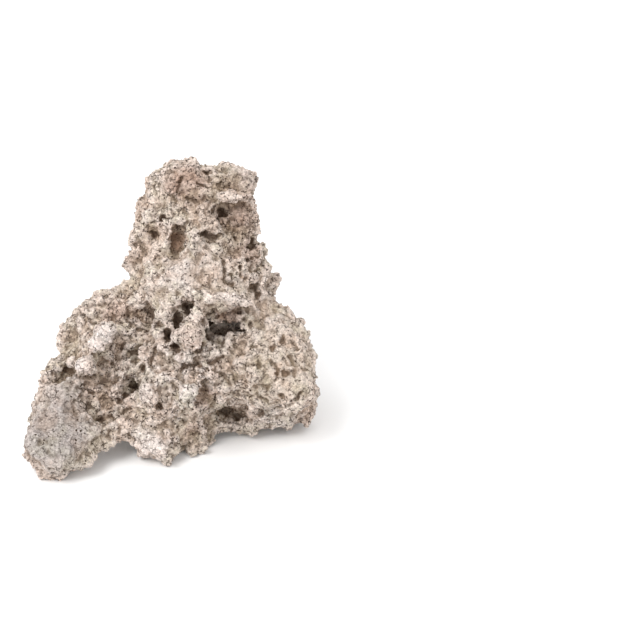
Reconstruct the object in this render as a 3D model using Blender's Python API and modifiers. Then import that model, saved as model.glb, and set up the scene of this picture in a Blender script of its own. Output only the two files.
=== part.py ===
"""A lava rock: one crusty, cavernous stone with a tower, a left leg and a right lobe.

It stands by itself on three small flat spots, one under each foot.
Sizes are in millimetres until MM turns them to metres.
"""

import math
import random

import bmesh
import bpy
from mathutils import Matrix, Vector, noise
from mathutils.bvhtree import BVHTree

MM = 0.001

# The show side is looked at from a little above. Its lumps and hollows are laid out as they are seen:
# across to the right, up the leaning picture of the stone, and forward to the eye.
LOOK_DOWN_DEG = 27.0
FACE_HEIGHT = 53.6
EYE_DISTANCE = 756.0
EYE_ACROSS = 75.0

# Each lump is a name, its middle (across, up, forward), its half sizes in the same directions, and
# how far it is turned in the picture, in degrees.
SHOW_LUMPS = (
    ("crown left", (9, 69, 20), (16.5, 15, 15), 0),
    ("crown middle", (20, 68, 17), (12, 14, 14), 0),
    ("crown left edge", (-6, 58, 14), (11, 15, 12), 5),
    ("crown right", (31, 67.5, 16), (15, 14, 14), 0),
    ("crown right bulge", (39.5, 50, 12), (8, 12, 10), 0),
    ("tower left side", (-10, 48, 10), (12, 18, 13), 0),
    ("tower heart", (14, 45, 12), (27, 30, 22), 0),
    ("tower right side", (43.5, 25, 10), (9.5, 13, 12), 15),
    ("tower neck", (16, 20, 14), (34, 22, 24), 0),
    ("tower right root", (38, 10, 8), (16.5, 22, 16), 0),
    ("tower left root", (-10.5, 16, 10), (10.5, 12, 12), 0),
    ("bush", (-17, 27, 8), (6, 7, 7), 0),
    ("side ledge", (45, 34, 12), (5.5, 2.5, 7), 0),
    ("shoulder top", (-31, 1, 0), (30, 15.5, 18), 30),
    ("shoulder body", (-30, -14, 4), (27, 20, 20), 15),
    ("shoulder left", (-51, -12, 2), (10.5, 14, 12), 0),
    ("left thigh", (-47.5, -31, 12), (18, 18, 18), 0),
    ("left shin", (-56.5, -42, 22), (13, 15, 16), 0),
    ("instep", (-59.5, -52, 28), (13.5, 10, 14), 0),
    ("left foot", (-56, -64, 32), (17.5, 14, 16), 0),
    ("left heel", (-44, -58, 28), (13, 13, 13), 0),
    ("heel end", (-42, -65.5, 28), (8.5, 7.5, 10), 0),
    ("left toe", (-56, -71, 33), (12, 10, 10), 0),
    ("heel web", (-29, -49, 14), (10, 9, 12), 0),
    ("belly", (8, -25, 8), (34, 28, 26), 0),
    ("belly low", (-2, -42, 12), (22, 20, 18), 0),
    ("middle foot", (-6, -59, 18), (14.5, 11.5, 12), -25),
    ("middle foot side", (9, -55, 8), (12, 14, 12), 0),
    ("left of belly", (-22, -36, 10), (14, 14, 14), 0),
    ("under left of belly", (-21, -52, 14), (10, 8.5, 10), 0),
    ("right lobe", (48.5, -20, 12), (25.5, 28, 22), 0),
    ("right lobe outside", (60, -31, 4), (15, 21, 16), 0),
    ("right lobe low", (50, -45, 0), (18, 13, 16), 0),
    ("right corner", (65.5, -42, -6), (10.5, 12, 12), 0),
    ("right low lip", (40, -53, -2), (12, 8.5, 13), 0),
    ("behind the low cave", (26, -47, 0), (15, 9.5, 12), 0),
    ("right shoulder", (56, -3, -2), (10.5, 10.5, 12), 0),
    ("right neck", (45, 12, 0), (8, 9, 12), 0),
)

# The far side's lumps: a name, the middle (x, y, z) from the foot of the stone, and the half sizes.
BACK_LUMPS = (
    ("back heart", (12, 18, 45), (34, 26, 36)),
    ("back left", (-28, 12, 30), (26, 22, 23)),
    ("back right", (48, 12, 30), (22, 22, 25)),
    ("back foot", (-8, 26, 9), (15, 12, 13)),
    ("right foot", (55, -4, 8), (14, 12, 12)),
)

# Knobs stand on the skin where the line of sight meets it: a name, where (across, up), the half
# sizes (across, up, forward), how far the middle stands out, and the turn in the picture.
KNOBS = (
    ("centre knob", (10, -6), (9.5, 11, 9), 6, 0),
    ("knob spike", (13, 4), (4, 7, 5), 5, -20),
    ("pale knob", (-33, -8), (9, 5, 7), 3, 42),
    ("lower pale knob", (-42, -22), (8, 6, 7), 3, 30),
    ("lump by the cave", (-10, -34), (8, 10, 6), 1, 0),
    ("bright knob", (9, -36), (7.5, 7.5, 7), 4, 0),
    ("brow", (28, 10.5), (20, 6, 8), 4, -8),
    ("tower brow", (32, 61), (13, 5, 7), 1, 10),
    ("slot lip", (14, 38), (7, 8, 5), 1, 20),
    ("left bank", (-20, -26), (9, 5, 6), 1, 20),
    ("right bulge", (62, -34), (12, 12, 7), 0, 0),
)

# Hollows are sunk in where the line of sight meets the skin, laid out like the knobs; the last
# length is how deep the cutter's middle lies.
HOLLOWS = (
    ("big cave", (29, -1), (13, 6, 14), 2, -6),
    ("cave back", (34, -3), (8, 4, 12), 6, 0),
    ("cave crack", (7, 3), (3, 9, 10), 3, -35),
    ("crack foot", (-3, -8), (3.5, 4, 8), 2, -50),
    ("tower slot", (4, 40), (4.5, 10, 9), 1, -15),
    ("tower hollow", (32, 52), (12, 8, 7), 0, -10),
    ("tower hollow hole", (25, 53), (3.5, 3.5, 8), 4, 0),
    ("tower pit high left", (-4, 51), (3.2, 3, 6), 1, 0),
    ("tower pit low left", (-8, 44), (3.4, 3.4, 6), 1, 0),
    ("tower pit middle", (20, 42), (3.5, 3, 6), 1, 0),
    ("tower pit right", (33, 41), (3.5, 3.5, 6), 1, 0),
    ("shoulder hollow", (-20, -16), (8, 7, 7), 0, 0),
    ("cave by the lump", (-19, -34), (9, 4.5, 9), 1, 45),
    ("leg cave", (-52, -26), (5.5, 3.5, 7), 1, 20),
    ("heel cave", (-35, -49), (5.5, 3.5, 6), 1, 0),
    ("belly hollow", (18, -40), (10, 9, 6), 0, 0),
    ("low cave", (31, -48), (8, 5.5, 9), 1, 0),
    ("edge notch", (46, 42), (4, 3, 9), 0, 0),
    ("crown pit", (18, 73), (3.4, 3, 5), 1, 0),
    ("crown edge notch", (-9, 68), (3, 3, 5), 0, 0),
    ("neck pit", (29, 20), (4.5, 3, 5), 0, 35),
    ("neck crack", (43, 14), (3, 7, 6), 1, 20),
)

# Vesicles are the round holes of old gas bubbles, scattered over the sides that face away from the
# eye, because the show side's holes are named above. Their middles lie under the skin by this share
# of their radius, and each is a little longer one way than another.
VESICLES = 40
VESICLE_SEED = 7
VESICLE_RADII = (2.6, 4.6)
VESICLE_DEPTH = 0.35
VESICLE_STRETCH = (0.7, 1.3)

# The crust is domes that grow against each other. A layer is the width of its domes, how far the
# tallest stand out, and how far its pattern is moved along X, so that no two layers fall together.
LUMPS = (13.0, 5.5, 0.0)
CRUMBS = (8.0, 4.2, 88.0)
CRUMBS_IN_HOLLOWS = (8.0, 4.2, 40.0)

# The lowest dome's share of the tallest one's height, how steep a dome's side is at the crease,
# and the mean height of a layer, at which the skin stays where it is.
LOWEST_DOME = 0.45
CREASE_STEEPNESS = 3.0
MEAN_DOME = 0.38

# A dome's height is drawn from a pattern of cells finer than the domes, so neighbours differ.
CELLS_A_DOME = 7.3

# The domes are bent out of round by a wavy shift, and the whole stone is broadly uneven.
WARP_WIDTH, WARP_SHIFT = 9.0, 2.5
BROAD_WIDTH, BROAD_RISE = 26.0, 3.2
NOISE_SEED = 3

# Worn places, where the crust is rubbed smooth: the middle (across, up, forward) and the radius.
# In their middle this share of the domes' height is left, and the wear fades out from there.
WORN = (
    ("left foot", (-56, -55, 30), 26),
    ("tower neck", (10, 22, 34), 18),
    ("brow", (32, 12, 30), 9),
    ("pale knob", (-33, -9, 24), 9),
    ("middle foot edge", (-8, -62, 24), 12),
    ("right lobe", (54, -26, 20), 26),
)
WORN_KEEPS = 0.45
WORN_FADE = 1.6

# What stands lower than the ground is cut off flat.
GROUND_SIZE = (220.0, 220.0, 20.0)

# The skin is worked on as a fine net, eased where lumps meet, and thinned out at the end.
NET = 1.2
BODY_EASE = 4
CRUST_EASE = 2
TRIANGLES = 9600

# Pale stone between grey and tan.
STONE_COLOUR = "#b1a396"
STONE_ROUGHNESS = 0.95
SHARP_DEG = 30.0


def seen_frame(across, up, forward):
    """The matrix that carries a shape at the origin to its place on the leaning picture of the stone."""
    nearer = 1 - forward / EYE_DISTANCE
    lean = Matrix.Rotation(math.radians(90 - LOOK_DOWN_DEG), 4, "X")
    place = Vector((EYE_ACROSS + (across - EYE_ACROSS) * nearer, up * nearer, forward))
    return Matrix.Translation((0, 0, FACE_HEIGHT)) @ lean @ Matrix.Translation(place)


def eye_place():
    """Where the show side is looked at from."""
    return seen_frame(EYE_ACROSS, 0, 0) @ Vector((0, 0, EYE_DISTANCE))


def forward_of_skin(skin, across, up):
    """How far forward the skin is where the line of sight through (across, up) meets it."""
    eye = eye_place()
    sight = (seen_frame(across, up, 0).translation - eye).normalized()
    hit, _, _, distance = skin.ray_cast(eye, sight)
    if hit is None:
        raise ValueError(f"no skin where it is seen at {across}, {up}")
    return EYE_DISTANCE * (1 - distance / (seen_frame(across, up, 0).translation - eye).length)


def add_ball(mesh, frame, halves, turn_deg=0.0):
    """Adds one ellipsoid to the bmesh, turned in the picture plane of its frame."""
    turn = Matrix.Rotation(math.radians(turn_deg), 4, "Z")
    stretch = Matrix.Diagonal((*halves, 1))
    bmesh.ops.create_icosphere(mesh, subdivisions=3, radius=1, matrix=frame @ turn @ stretch)


def object_from(mesh, name):
    """A new object in the scene that holds the bmesh."""
    data = bpy.data.meshes.new(name)
    mesh.to_mesh(data)
    mesh.free()
    made = bpy.data.objects.new(name, data)
    bpy.context.scene.collection.objects.link(made)
    return made


def mesh_of(obj):
    """A bmesh with a copy of the object's mesh."""
    mesh = bmesh.new()
    mesh.from_mesh(obj.data)
    mesh.normal_update()
    return mesh


def skin_of(obj):
    """The object's surface, for casting lines of sight at it."""
    mesh = mesh_of(obj)
    skin = BVHTree.FromBMesh(mesh)
    mesh.free()
    return skin


def put_back(mesh, obj):
    """Gives the bmesh back to the object."""
    mesh.to_mesh(obj.data)
    mesh.free()


def apply_modifiers(obj):
    """Gives the object its evaluated mesh in place of its modifiers."""
    graph = bpy.context.evaluated_depsgraph_get()
    done = bpy.data.meshes.new_from_object(obj.evaluated_get(graph))
    obj.modifiers.clear()
    obj.data = done


def fuse(obj):
    """Makes one skin of overlapping closed shells, or of a skin that runs through itself."""
    remesh = obj.modifiers.new("Fuse", "REMESH")
    remesh.mode = "VOXEL"
    remesh.voxel_size = NET
    apply_modifiers(obj)


def ease(obj, steps):
    """Rounds off the creases where lumps meet."""
    smooth = obj.modifiers.new("Ease", "SMOOTH")
    smooth.iterations = steps
    apply_modifiers(obj)


def cut_away(obj, cutter):
    """Takes the cutter's shape out of the object."""
    cut = obj.modifiers.new("Cut", "BOOLEAN")
    cut.operation = "DIFFERENCE"
    cut.object = cutter
    apply_modifiers(obj)


def keep_largest_shell(obj):
    """Removes loose crumbs and sealed bubbles that fusing may leave."""
    mesh = mesh_of(obj)
    left = set(mesh.verts)
    shells = []
    while left:
        shell = set()
        edge = {left.pop()}
        while edge:
            vert = edge.pop()
            shell.add(vert)
            for link in vert.link_edges:
                other = link.other_vert(vert)
                if other in left:
                    left.discard(other)
                    edge.add(other)
        shells.append(shell)
    shells.sort(key=len)
    loose = [vert for shell in shells[:-1] for vert in shell]
    bmesh.ops.delete(mesh, geom=loose, context="VERTS")
    put_back(mesh, obj)


def domes(point):
    """From 0 in the creases to about 1 on the tallest, for domes that are 1 wide."""
    distances, centres = noise.voronoi(point)
    crease = min(1.0, (distances[1] - distances[0]) * CREASE_STEEPNESS)
    height = LOWEST_DOME + (1.0 - LOWEST_DOME) * noise.cell(centres[0] * CELLS_A_DOME)
    return height * crease * max(0.0, 1.0 - distances[0] ** 2)


def wear(point):
    """How much of the crust is left at this point: 1 where it is fresh, less where it is rubbed."""
    left = 1.0
    for _, middle, radius in WORN:
        away = (point - seen_frame(*middle).translation).length / radius
        rubbed = min(1.0, max(0.0, 1.0 - away) * WORN_FADE)
        left = min(left, 1.0 - (1.0 - WORN_KEEPS) * rubbed)
    return left


def raise_crust(obj, layer):
    """Moves each point of the skin out along its normal by the height of the layer's domes there."""
    width, height, shift = layer
    mesh = mesh_of(obj)
    for vert in mesh.verts:
        warped = vert.co + WARP_SHIFT * noise.noise_vector(vert.co / WARP_WIDTH)
        rise = height * (domes((warped + Vector((shift, 0, 0))) / width) - MEAN_DOME)
        vert.co += vert.normal * rise * wear(vert.co)
    put_back(mesh, obj)
    fuse(obj)


def raise_broad(obj):
    """Gives the whole stone its broad unevenness."""
    mesh = mesh_of(obj)
    for vert in mesh.verts:
        rise = BROAD_RISE * noise.fractal(vert.co / BROAD_WIDTH, 1.0, 2.0, 3)
        vert.co += vert.normal * rise
    put_back(mesh, obj)


def make_body():
    """Every lump of the stone, fused and eased together."""
    mesh = bmesh.new()
    for _, middle, halves, turn in SHOW_LUMPS:
        add_ball(mesh, seen_frame(*middle), halves, turn)
    for _, middle, halves in BACK_LUMPS:
        add_ball(mesh, Matrix.Translation(middle), halves)
    body = object_from(mesh, "lava_rock")
    fuse(body)
    ease(body, BODY_EASE)
    raise_broad(body)
    return body


def add_knobs(body):
    """Sets the knobs on the show side."""
    skin = skin_of(body)
    mesh = mesh_of(body)
    for _, (across, up), halves, out, turn in KNOBS:
        forward = forward_of_skin(skin, across, up) + out
        add_ball(mesh, seen_frame(across, up, forward), halves, turn)
    put_back(mesh, body)
    fuse(body)


def make_hollows(body):
    """The cutter for the hollows of the show side."""
    skin = skin_of(body)
    mesh = bmesh.new()
    for _, (across, up), halves, deep, turn in HOLLOWS:
        forward = forward_of_skin(skin, across, up) - deep
        add_ball(mesh, seen_frame(across, up, forward), halves, turn)
    hollows = object_from(mesh, "hollows")
    fuse(hollows)
    return hollows


def make_vesicles(body):
    """The cutter for the scattered round holes."""
    chance = random.Random(VESICLE_SEED)
    eye = eye_place()
    faces = mesh_of(body)
    hidden = [face for face in faces.faces if face.normal.dot(eye - face.calc_center_median()) < 0]
    mesh = bmesh.new()
    for face in chance.sample(hidden, VESICLES):
        radius = chance.uniform(*VESICLE_RADII)
        middle = face.calc_center_median() - face.normal * radius * VESICLE_DEPTH
        halves = [radius * chance.uniform(*VESICLE_STRETCH) for _ in range(3)]
        add_ball(mesh, Matrix.Translation(middle), halves)
    faces.free()
    vesicles = object_from(mesh, "vesicles")
    fuse(vesicles)
    return vesicles


def make_ground():
    """The cutter under the stone that gives each foot its flat spot."""
    mesh = bmesh.new()
    stretch = Matrix.Diagonal((*GROUND_SIZE, 1))
    below = Matrix.Translation((0, 0, -GROUND_SIZE[2] / 2))
    bmesh.ops.create_cube(mesh, size=1, matrix=below @ stretch)
    return object_from(mesh, "ground")


def thin_out(obj):
    """Brings the skin down to the number of triangles that the stone is given."""
    thin = obj.modifiers.new("Thin", "DECIMATE")
    thin.ratio = TRIANGLES / (2 * len(obj.data.polygons))
    apply_modifiers(obj)


def footprint_middle(obj):
    """The middle of the object's box, at its lowest level."""
    corners = [[vert.co[axis] for vert in obj.data.vertices] for axis in range(3)]
    middle_x, middle_y = [(min(side) + max(side)) / 2 for side in corners[:2]]
    return Vector((middle_x, middle_y, min(corners[2])))


def linear(hex_colour):
    """The linear values of an sRGB colour."""
    parts = [int(hex_colour[start:start + 2], 16) / 255 for start in (1, 3, 5)]
    return [part / 12.92 if part <= 0.04045 else ((part + 0.055) / 1.055) ** 2.4 for part in parts]


def stone_material():
    """Dry, matt volcanic stone."""
    stone = bpy.data.materials.new("crusty_stone")
    stone.use_nodes = True
    shader = stone.node_tree.nodes["Principled BSDF"]
    shader.inputs["Base Color"].default_value = (*linear(STONE_COLOUR), 1)
    shader.inputs["Roughness"].default_value = STONE_ROUGHNESS
    shader.inputs["Metallic"].default_value = 0.0
    return stone


def file_in_collection(objects, name):
    """Puts the objects in a collection of this name."""
    collection = bpy.data.collections.new(name)
    bpy.context.scene.collection.children.link(collection)
    for obj in objects:
        bpy.context.scene.collection.objects.unlink(obj)
        collection.objects.link(obj)


def main():
    for obj in list(bpy.data.objects):
        bpy.data.objects.remove(obj)
    noise.seed_set(NOISE_SEED)

    body = make_body()
    add_knobs(body)
    raise_crust(body, LUMPS)
    hollows, vesicles, ground = make_hollows(body), make_vesicles(body), make_ground()
    for cutter in (hollows, vesicles):
        raise_crust(cutter, CRUMBS_IN_HOLLOWS)
        cut_away(body, cutter)
    fuse(body)
    raise_crust(body, CRUMBS)
    keep_largest_shell(body)
    ease(body, CRUST_EASE)
    thin_out(body)
    cut_away(body, ground)

    to_metres = Matrix.Scale(MM, 4) @ Matrix.Translation(-footprint_middle(body))
    for obj in (body, hollows, vesicles, ground):
        obj.data.transform(to_metres)
    for cutter in (hollows, vesicles, ground):
        cutter.hide_render = True
        cutter.display_type = "WIRE"
    body.data.materials.append(stone_material())
    body.data.shade_smooth()
    body.data.set_sharp_from_angle(angle=math.radians(SHARP_DEG))
    file_in_collection([body], "lava_rock")
    file_in_collection([hollows, vesicles, ground], "cutters")


main()
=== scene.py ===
"""The looks of a lava rock: one crusty, cavernous stone of pale grey and tan.

A copy of the stone's plain solid is worked into a fine skin, with small lumps, crevices and pits.
Loose-looking crumbs and grains then grow on it, thick on fresh crust and thin where it is worn.
"""

import math

import bmesh
import bpy
import numpy as np
from mathutils import Matrix, Vector, noise
from mathutils.bvhtree import BVHTree


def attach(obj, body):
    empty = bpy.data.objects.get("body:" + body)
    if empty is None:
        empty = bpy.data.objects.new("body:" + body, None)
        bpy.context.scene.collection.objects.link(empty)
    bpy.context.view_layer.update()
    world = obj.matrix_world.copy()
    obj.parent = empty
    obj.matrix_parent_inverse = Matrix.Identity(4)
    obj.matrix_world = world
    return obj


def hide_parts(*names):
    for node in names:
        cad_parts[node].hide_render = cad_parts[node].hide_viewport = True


bl_info = {
    "name": "Lava rock",
    "version": (1, 0, 0),
    "blender": (4, 5, 0),
    "location": "View3D > Sidebar > Lava rock",
    "description": "Gives a plain solid of a lava rock its crust, crumbs, pits and colours",
    "category": "Object",
}

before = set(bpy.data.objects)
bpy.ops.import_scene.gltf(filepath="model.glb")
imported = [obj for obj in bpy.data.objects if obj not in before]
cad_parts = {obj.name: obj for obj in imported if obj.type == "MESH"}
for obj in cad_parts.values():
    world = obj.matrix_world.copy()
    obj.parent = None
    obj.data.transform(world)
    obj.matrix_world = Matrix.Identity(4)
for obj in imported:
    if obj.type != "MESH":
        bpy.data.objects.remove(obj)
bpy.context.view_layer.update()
MM = 0.001
GOLDEN_TURN = math.pi * (3 - math.sqrt(5))

# The show side is laid out as it is seen: millimetres across to the right, up the leaning picture
# of the stone, and forward to the eye. The picture leans with the line of sight, and its zero point
# is this far from the stone's. The eye looks straight at a point to the right of the stone, and the
# lines of sight start just in front of the eye. Radii, depths, the lens and the sensor are in
# millimetres too.
LOOK_DOWN = math.radians(27.0)
PICTURE_ZERO = Vector((-4.17, 14.74, 53.6))
EYE_ACROSS = 75.0
EYE_DISTANCE = 756.0
SIGHT_START = EYE_DISTANCE - 0.001
LENS = 85.0
SENSOR = 36.0

# The soft lamp at the upper left, and what it is turned to.
LAMP_PLACE = (-0.36, -0.48, 0.78)
LAMP_AIM = Vector((0, 0, 0.06))

# Crumbs of each size: spacing, smallest and largest radius, how deep the middle sits, and how many
# rings of faces the round shape has that each starts from.
CLUMPS = (4.0 * MM, 1.0 * MM, 1.75 * MM, 1.1 * MM, 6)
CLOTS = (2.0 * MM, 0.6 * MM, 1.1 * MM, 0.35 * MM, 4)
CRUMBS = (1.55 * MM, 0.45 * MM, 1.05 * MM, 0.45 * MM, 4)
GRAINS = (1.2 * MM, 0.30 * MM, 0.62 * MM, 0.15 * MM, 3)
CLUMP_SEED = 5
CLOT_SEED = 15
CRUMB_SEED = 31
GRAIN_SEED = 47
CRUMBS_TRIED = 1.3        # how many places are tried in a square as wide as the spacing
DENTS = 1.2               # how many dents there are in the length of the largest radius
DENT_DEPTH = 2.4          # how far they move the face, in smallest radii
CRUMB_FOOT = (-0.1, 0.35)   # the heights over which its side turns from painted shade to its own colour, in mean radii
FOOT_PAINTED_SHADE = 0.8           # how much painted shade the crumb has at its foot

# How the crust's lumps, crevices and small pits are shaped. A number without a unit is a share or a
# factor.
PATTERN_SEED = 3
BEND = 1.6 * MM           # how far the pattern of the lumps is bent
BEND_WIDTH = 4 * MM       # width of its bends
DOME_DRAW = 7.3           # this and the next make the domes' heights and the pits' depths differ
PIT_DRAW = 5.1
DOME_HEIGHT = 0.45        # average height of the domes, where the tallest is 1
DOME_SPREAD = 0.55        # how much higher or lower single domes are
DOME_SUNK = 0.4           # how deep the creases between the domes lie under the old skin
DOME_STEEPNESS = 5.0      # how fast a dome rises from the crease round it
LUMPS_RUBBED = 0.75       # how much of the small lumps goes where the stone is worn right off
KNOBS_RUBBED = 0.7        # how much of the smallest lumps goes there
CLUMPS_RUBBED = 0.9       # how many of the clumps go there
CRUMBS_RUBBED = 0.8       # how many of the loose crumbs go there
WORN_FLAT = 1.6           # over 1, so that a worn place is evenly worn round its middle
CREVICE_WIDTH = 0.14      # more makes the crevices wider
PIT_RADIUS = 0.34         # in pit spacings
PATCH_WIDTH = 16 * MM     # width of the patches that are more or less crumbly
PATCH_MEAN = 0.55
PATCH_CONTRAST = 1.6
LEAST_CRUMBLY = 0.35      # what the calmest patches keep of their clumps
KNOB_SUNK = 0.4           # how deep a knob's middle sits, in its smaller radii

# How the holes and cracks are dug. Each hole has a smaller one beside it: how far off, how wide and
# how deep that one is, in shares of its own radius and depth.
BESIDE = 0.9
BESIDE_RADIUS = 0.65
BESIDE_DEPTH = 0.8
RAGGED = ((0.8, 2.6 * MM), (0.4, 1.2 * MM))   # how much a dig's edge wanders, and how wide each turn is
LEAST_RAGGED = 0.68
DIG_REACH = 1.25          # where a dig's slope starts, in its radii
DIG_LIMIT = DIG_REACH / LEAST_RAGGED
DIG_STEEPNESS = 1.7       # over 1, so that a dig has a level bottom
DUG_BARE = 2.5            # how fast the clumps thin out towards a dig

# What the skin's points keep for the colours and the loose crumbs.
CLEARANCE = 0.15 * MM     # how far off the skin a line of sight starts
GRAZING = 0.15            # directions flatter than this to the skin are left out
HOLLOW_REACH = 8 * MM     # how near a wall has to be to make a hollow
HOLLOW_WAYS = 20          # how many directions are tried
HOLLOW_STEPS = 2          # smoothing steps of the hollows
CREASE_STEPS = 8          # smoothing steps of the calm skin that creases are measured from
CREASE_DEPTH = 0.40 * MM
# How much painted shade the creases get, and how much of it goes where the stone is worn.
CREASE_PAINTED_SHADE = 0.9
CREASE_RUBBED = 0.5
BARE_HOLLOW = (0.85, 1.0)               # from here to here, the loose crumbs thin out in a hollow
BARE_CREASE = (-0.5 * MM, -0.1 * MM)    # the same in a crease, by how far the skin stands out
BARE_FOOT = (1.0 * MM, 3.0 * MM)        # the same towards the ground, by height
MIDDLE_TONE = 0.5
STAIN_BEND = 3 * MM       # how far a stain's edge wanders
STAIN_BEND_WIDTH = 7 * MM
STAIN_FLAT = 1.5          # over 1, so that a stain is even round its middle
LUMP_STEPS = 60           # smoothing steps of the calm skin that lumps are measured from
LUMP_DEPTHS = (-1.6 * MM, 1.2 * MM)     # how far the stone's dips and tops stand out
# The browner dips are partly dirt and partly painted shade, and the paler, bluer tops are a painted
# highlight.
DIP_DIRT_AND_SHADE = (0.78, 0.71, 0.64)          # what the tint is multiplied by, red, green and blue
TOP_PAINTED_HIGHLIGHT = (1.03, 1.025, 1.065)

# The material's patterns: their widths, and how far apart the pinholes are.
STONE_PATCH_WIDTH = 12 * MM
PINHOLE_SPACING = 2.0 * MM
WOBBLE_WIDTH = 1.0 * MM
WOBBLE = 1.4 * MM         # how far pinholes and fine crevices wander
GRAIN_WIDTH = 0.7 * MM
CLOT_WIDTH = 1.1 * MM
CREVICE_SPACING = 2.3 * MM
BREAK_WIDTH = 2.6 * MM
BUMP = 0.45 * MM          # how high the finest grains look
GAP_SUNK = 1.6            # how deep gaps look, in heights of the grains
PATCH_TINTS = ((0.36, "#f4ebe4"), (0.5, "#faf7f4"), (0.64, "#ebe9df"))   # from pinkish to olive
MIX_A = 6                 # the colour sockets of a Mix node, by number, as names are shared there
MIX_B = 7
MIX_RESULT = 2

# Worn places, where the crust is rubbed smooth: (across, up), radius, share rubbed off.
WORN = (
    ("left foot", (-58, -58), 24, 1.0),
    ("left shin", (-58, -40), 15, 0.7),
    ("tower neck", (6, 24), 15, 0.8),
    ("neck left", (-4, 14), 12, 0.75),
    ("brow", (24, 12), 10, 0.6),
    ("slot", (4, 40), 7, 1.0),
    ("tower left side", (-9, 36), 12, 0.6),
    ("crown right", (34, 72), 9, 0.6),
    ("pale knob", (-34, -8), 11, 0.8),
    ("lower pale knob", (-43, -23), 7, 0.7),
    ("middle foot edge", (-11, -63), 13, 0.9),
    ("right shoulder", (50, 4), 12, 0.6),
    ("right lobe", (56, -26), 26, 0.55),
    ("tower's left knob", (-20, 24), 6, 0.8),
)

# Holes in the show side: (across, up), radius, depth.
HOLES = (
    ("tower high left", (-4, 51), 2.4, 5.0),
    ("tower low left", (-8, 43), 1.8, 4.0),
    ("slot top", (7.5, 48), 1.8, 2.0),
    ("slot foot", (3, 33.5), 1.6, 1.5),
    ("right of slot", (18.5, 42.5), 1.9, 5.0),
    ("under the tower brow", (25.5, 54), 2.2, 5.0),
    ("tower right", (32, 41), 1.6, 3.0),
    ("right notch", (41, 38.5), 2.0, 3.5),
    ("crown", (18.5, 74), 1.8, 3.5),
    ("crown left notch", (-9, 67), 1.6, 2.0),
    ("neck right", (30.5, 22.7), 1.6, 3.0),
    ("cave pocket", (34, 4.5), 1.6, 4.0),
    ("shoulder hollow", (-20, -16), 1.8, 1.5),
    ("by the lower knob", (-29, -22.5), 1.6, 2.5),
    ("leg cave", (-52, -25.5), 2.6, 2.5),
    ("by the lump", (-17, -33), 2.8, 3.5),
    ("heel cave", (-34.5, -49.5), 2.2, 3.0),
    ("beside the heel cave", (-41, -49), 1.4, 2.0),
    ("belly", (-6, -43.6), 1.6, 3.0),
    ("foot low", (-61, -66), 1.6, 1.6),
    ("foot high", (-65, -61), 1.4, 1.4),
    ("low cave", (28.5, -46.5), 2.6, 3.0),
    ("low cave right", (34, -48.5), 2.0, 2.0),
    ("right of the brow", (44, 13.5), 2.0, 3.0),
    ("lobe high left", (51, -14), 1.6, 2.4),
    ("lobe high", (57, -10), 1.7, 2.4),
    ("lobe high right", (64, -14), 1.5, 2.2),
    ("lobe middle", (57.5, -27), 1.8, 2.8),
    ("lobe middle left", (45, -22), 1.5, 2.4),
    ("lobe right", (67, -25), 1.5, 2.2),
    ("lobe low", (48, -34), 1.6, 2.4),
    ("lobe low right", (55, -38), 1.7, 2.6),
    ("lobe edge", (38, -28), 1.5, 2.4),
    ("lobe foot", (46, -47), 1.5, 2.0),
    ("lobe by the cave", (41, -13), 1.4, 2.2),
)

# Small knobs on the show side: (across, up), radii across and up, how far they stand out.
KNOBS = (
    ("tower hollow", (35, 52), (5.5, 6.5), 2.0),
    ("centre knob top", (13.5, 2.5), (3.2, 5.0), 2.4),
    ("centre knob", (11, -7), (7.0, 7.0), 2.6),
    ("under the centre knob", (7, -18), (5.4, 4.0), 1.6),
    ("bright knob", (9, -36), (5.4, 5.0), 1.6),
    ("belly knob", (16, -16), (4.4, 3.6), 1.4),
    ("spur right of the slot", (12, 42), (3.2, 4.2), 1.2),
    ("right of the pits", (22, 36), (5.0, 4.0), 1.2),
    ("tower brow", (31, 61.5), (7.0, 2.4), 0.6),
    ("crown left knob", (2, 66), (4.4, 4.0), 1.2),
    ("crown middle knob", (17, 64), (4.4, 3.6), 1.2),
    ("slot left lip", (-1.2, 38.5), (2.2, 5.0), 0.8),
    ("slot left lip top", (0.6, 45), (1.5, 2.0), 0.4),
    ("slot top left", (2.6, 49.5), (1.5, 1.4), 0.5),
    ("slot top right", (9.4, 48), (1.7, 1.6), 0.5),
    ("slot right lip", (9.3, 43.5), (1.5, 1.9), 0.5),
    ("slot right lip low", (8.2, 38), (1.9, 2.6), 0.6),
    ("slot foot right", (6.2, 33.6), (2.0, 1.8), 0.5),
    ("slot foot left", (0.2, 33.2), (1.6, 1.5), 0.4),
    ("pale knob", (-32.5, -6), (5.6, 6.0), 2.2),
    ("pale knob foot", (-37, -12), (5.0, 4.6), 1.8),
    ("lower pale knob", (-43, -22), (5.2, 5.0), 1.8),
    ("knob over the shin", (-49, -21), (3.6, 3.6), 1.2),
    ("shoulder knob", (-25, -5), (4.4, 3.4), 1.0),
    ("shoulder hollow", (-18.5, -12.0), (5.0, 4.0), 1.6),
    ("shoulder hollow's foot", (-23.5, -17.5), (3.0, 2.6), 1.2),
    ("tower's left notch", (-16.0, 34.5), (3.6, 4.4), 1.4),
    ("lump by the cave", (-11, -37), (5.0, 5.4), 1.4),
    ("middle foot edge", (-13, -66), (3.0, 2.2), 0.4),
    ("side ledge", (44, 35), (4.2, 1.9), 2.2),
    ("lobe low knob", (62, -42), (6.0, 5.0), 1.2),
    ("lobe left knob", (42, -27), (5.0, 5.4), 1.0),
)

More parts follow.
